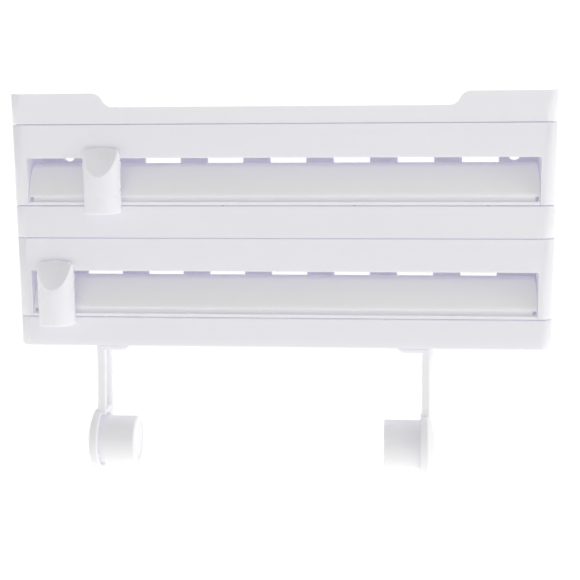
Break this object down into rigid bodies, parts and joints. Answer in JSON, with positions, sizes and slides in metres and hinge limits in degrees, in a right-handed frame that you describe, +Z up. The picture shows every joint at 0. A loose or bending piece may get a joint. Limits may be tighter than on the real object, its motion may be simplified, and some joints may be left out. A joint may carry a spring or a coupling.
{
  "type": "wall-mounted film and kitchen roll dispenser",
  "caption": "Wall-mounted kitchen dispenser: two fold-down film dispensers with sliding cutters, a spice tray above and two sliding arms below for a kitchen roll.",
  "frame": {"origin": "midway between the two keyhole head openings, on the wall plane at the back panel's rear face", "axes": "+X right, +Z up, +Y into the wall; the front faces -Y"},
  "size_m": [0.385, 0.087, 0.2785],
  "materials": {
    "body_plastic": "satin white moulded plastic",
    "cover_plastic": "satin white moulded plastic",
    "cutter_plastic": "smooth white moulded plastic",
    "arm_plastic": "satin white moulded plastic",
    "blade_steel": "ground steel",
    "zinc_steel": "zinc plated"
  },
  "bodies": {
    "housing": {"back_panel": "body_plastic", "spice_tray": "body_plastic", "tray_screws": "zinc_steel", "upper_trough": "body_plastic", "upper_trough_screws": "zinc_steel", "upper_hinge_pins": "zinc_steel", "lower_trough": "body_plastic", "lower_trough_screws": "zinc_steel", "lower_hinge_pins": "zinc_steel", "arm_rail": "body_plastic", "rail_screws": "zinc_steel"},
    "upper_cover": {"upper_cover": "cover_plastic", "upper_film_ramp": "cover_plastic", "upper_ramp_screws": "zinc_steel"},
    "upper_cutter": {"upper_cutter_knob": "cutter_plastic", "upper_cutter_carriage": "cutter_plastic", "upper_cutter_blade": "blade_steel"},
    "lower_cover": {"lower_cover": "cover_plastic", "lower_film_ramp": "cover_plastic", "lower_ramp_screws": "zinc_steel"},
    "lower_cutter": {"lower_cutter_knob": "cutter_plastic", "lower_cutter_carriage": "cutter_plastic", "lower_cutter_blade": "blade_steel"},
    "left_arm": {"left_arm": "arm_plastic"},
    "left_roll_plug": {"left_roll_plug": "arm_plastic", "left_plug_screw": "zinc_steel"},
    "right_arm": {"right_arm": "arm_plastic"},
    "right_roll_plug": {"right_roll_plug": "arm_plastic", "right_plug_screw": "zinc_steel"}
  },
  "joints": [
    {"name": "upper_cover_hinge", "type": "hinge", "parent": "housing", "child": "upper_cover", "pos_m": [0, -0.0675, -0.04235], "axis": [1, 0, 0], "range_deg": [0, 55]},
    {"name": "upper_cutter_slide", "type": "slide", "parent": "upper_cover", "child": "upper_cutter", "axis": [1, 0, 0], "range_m": [-0.0454, 0.2982]},
    {"name": "lower_cover_hinge", "type": "hinge", "parent": "housing", "child": "lower_cover", "pos_m": [0, -0.0675, -0.12345], "axis": [1, 0, 0], "range_deg": [0, 55]},
    {"name": "lower_cutter_slide", "type": "slide", "parent": "lower_cover", "child": "lower_cutter", "axis": [1, 0, 0], "range_m": [-0.0086, 0.335]},
    {"name": "left_arm_slide", "type": "slide", "parent": "housing", "child": "left_arm", "axis": [1, 0, 0], "range_m": [-0.032, 0.06]},
    {"name": "right_arm_slide", "type": "slide", "parent": "housing", "child": "right_arm", "axis": [1, 0, 0], "range_m": [-0.06, 0.061]},
    {"name": "left_plug_spin", "type": "hinge", "parent": "left_arm", "child": "left_roll_plug", "pos_m": [-0.1213, -0.062, -0.2072], "axis": [-1, 0, 0], "continuous": true},
    {"name": "right_plug_spin", "type": "hinge", "parent": "right_arm", "child": "right_roll_plug", "pos_m": [0.0913, -0.062, -0.2072], "axis": [1, 0, 0], "continuous": true}
  ]
}
